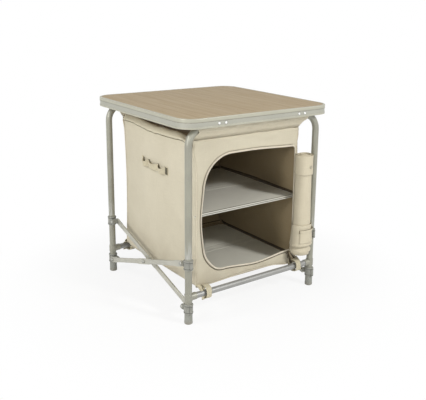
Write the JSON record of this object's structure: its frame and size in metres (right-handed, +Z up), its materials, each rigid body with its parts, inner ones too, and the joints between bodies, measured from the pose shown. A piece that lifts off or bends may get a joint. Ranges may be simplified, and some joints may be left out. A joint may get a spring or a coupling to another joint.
{
  "type": "folding camping table",
  "caption": "Square folding camping table with a laminate top on bent tube frames, crossed side braces and a fabric cupboard with a shelf and a roll-up door.",
  "frame": {"origin": "centre of the footprint on the floor", "axes": "+Z up, -Y towards the side with the opening, +X to the right of someone who faces it"},
  "size_m": [0.485, 0.485, 0.54],
  "materials": {
    "laminate": "matt oak-look laminate, slightly greyed",
    "edge_aluminium": "satin aluminium edging",
    "frame_tube": "smooth grey-green paint",
    "grey_plastic": "moulded grey plastic, fine texture",
    "brace_steel": "light grey paint",
    "rivet_steel": "plain steel",
    "canvas": "coated woven canvas, beige outside and brown inside",
    "binding": "light tape, folded and sewn",
    "zip": "brown coil zip",
    "webbing": "flat woven webbing",
    "covered_board": "thin board in grey-taupe fabric",
    "rail": "satin angle"
  },
  "bodies": {
    "front_frame": {"front_leg_frame": "frame_tube", "front_feet": "grey_plastic", "front_lower_collars": "grey_plastic", "front_lower_rivets": "rivet_steel", "front_crossbar_sleeves": "frame_tube", "front_crossbar": "frame_tube", "bag_front_panel": "canvas", "opening_binding": "binding", "door_zip": "zip", "door_roll": "canvas", "door_bands": "webbing", "front_strap_loops": "webbing", "bag_left_panel": "canvas", "bag_right_panel": "canvas", "bag_roof": "canvas", "bag_bottom": "canvas", "shelf_hinge_strip": "covered_board", "floor_hinge_strip": "covered_board", "left_handle": "webbing", "right_handle": "webbing"},
    "inner_braces": {"left_inner_brace": "brace_steel", "right_inner_brace": "brace_steel", "crossing_spacers": "brace_steel", "crossing_rivets": "rivet_steel"},
    "outer_braces": {"left_outer_brace": "brace_steel", "right_outer_brace": "brace_steel"},
    "rear_frame": {"rear_leg_frame": "frame_tube", "rear_feet": "grey_plastic", "rear_lower_collars": "grey_plastic", "rear_lower_rivets": "rivet_steel", "rear_crossbar_sleeves": "frame_tube", "rear_crossbar": "frame_tube", "bag_rear_panel": "canvas", "rear_strap_loops": "webbing"},
    "rear_sliders": {"rear_sliding_collars": "grey_plastic", "rear_slider_rivets": "rivet_steel"},
    "front_sliders": {"front_sliding_collars": "grey_plastic", "front_slider_rivets": "rivet_steel"},
    "shelf_front": {"shelf_front_leaf": "covered_board", "shelf_rail": "rail"},
    "shelf_rear": {"shelf_rear_leaf": "covered_board"},
    "floor_front": {"floor_front_leaf": "covered_board"},
    "floor_rear": {"floor_rear_leaf": "covered_board"},
    "tabletop": {"table_board": "laminate", "table_edge_trim": "edge_aluminium", "edge_rivets": "rivet_steel", "front_clips": "edge_aluminium", "rear_rests": "edge_aluminium"}
  },
  "joints": [
    {"name": "frame_fold", "type": "hinge", "parent": "front_frame", "child": "inner_braces", "pos_m": [0, -0.194, 0.042], "axis": [1, 0, 0], "range_deg": [0, 62.5], "deforming": ["bag_left_panel", "bag_right_panel", "bag_roof", "bag_bottom", "shelf_hinge_strip", "floor_hinge_strip", "left_handle", "right_handle"]},
    {"name": "outer_brace_pivot", "type": "hinge", "parent": "inner_braces", "child": "outer_braces", "pos_m": [0, 0, 0.102], "axis": [1, 0, 0], "range_deg": [-125, 0]},
    {"name": "rear_frame_pivot", "type": "hinge", "parent": "outer_braces", "child": "rear_frame", "pos_m": [0, 0.194, 0.042], "axis": [1, 0, 0], "range_deg": [0, 62.5]},
    {"name": "rear_slider_pivot", "type": "hinge", "parent": "inner_braces", "child": "rear_sliders", "pos_m": [0, 0.194, 0.162], "axis": [1, 0, 0], "range_deg": [-62.5, 0]},
    {"name": "front_slider_pivot", "type": "hinge", "parent": "outer_braces", "child": "front_sliders", "pos_m": [0, -0.194, 0.162], "axis": [1, 0, 0], "range_deg": [0, 62.5]},
    {"name": "shelf_front_fold", "type": "hinge", "parent": "front_frame", "child": "shelf_front", "pos_m": [0, -0.186, 0.2795], "axis": [1, 0, 0], "range_deg": [0, 88.12]},
    {"name": "shelf_rear_fold", "type": "hinge", "parent": "rear_frame", "child": "shelf_rear", "pos_m": [0, 0.186, 0.2795], "axis": [1, 0, 0], "range_deg": [-88.12, 0]},
    {"name": "floor_front_fold", "type": "hinge", "parent": "front_frame", "child": "floor_front", "pos_m": [0, -0.186, 0.09], "axis": [1, 0, 0], "range_deg": [0, 88.12]},
    {"name": "floor_rear_fold", "type": "hinge", "parent": "rear_frame", "child": "floor_rear", "pos_m": [0, 0.186, 0.09], "axis": [1, 0, 0], "range_deg": [-88.12, 0]},
    {"name": "top_lift", "type": "slide", "parent": "front_frame", "child": "tabletop", "axis": [0, 0, 1], "range_m": [0, 0.07]}
  ],
  "couplings": [
    {"joint": "outer_brace_pivot", "follows": "frame_fold", "ratio": -2},
    {"joint": "rear_frame_pivot", "follows": "frame_fold", "ratio": 1},
    {"joint": "rear_slider_pivot", "follows": "frame_fold", "ratio": -1},
    {"joint": "front_slider_pivot", "follows": "frame_fold", "ratio": 1},
    {"joint": "shelf_front_fold", "follows": "frame_fold", "ratio": 1.41},
    {"joint": "shelf_rear_fold", "follows": "frame_fold", "ratio": -1.41},
    {"joint": "floor_front_fold", "follows": "frame_fold", "ratio": 1.41},
    {"joint": "floor_rear_fold", "follows": "frame_fold", "ratio": -1.41}
  ]
}
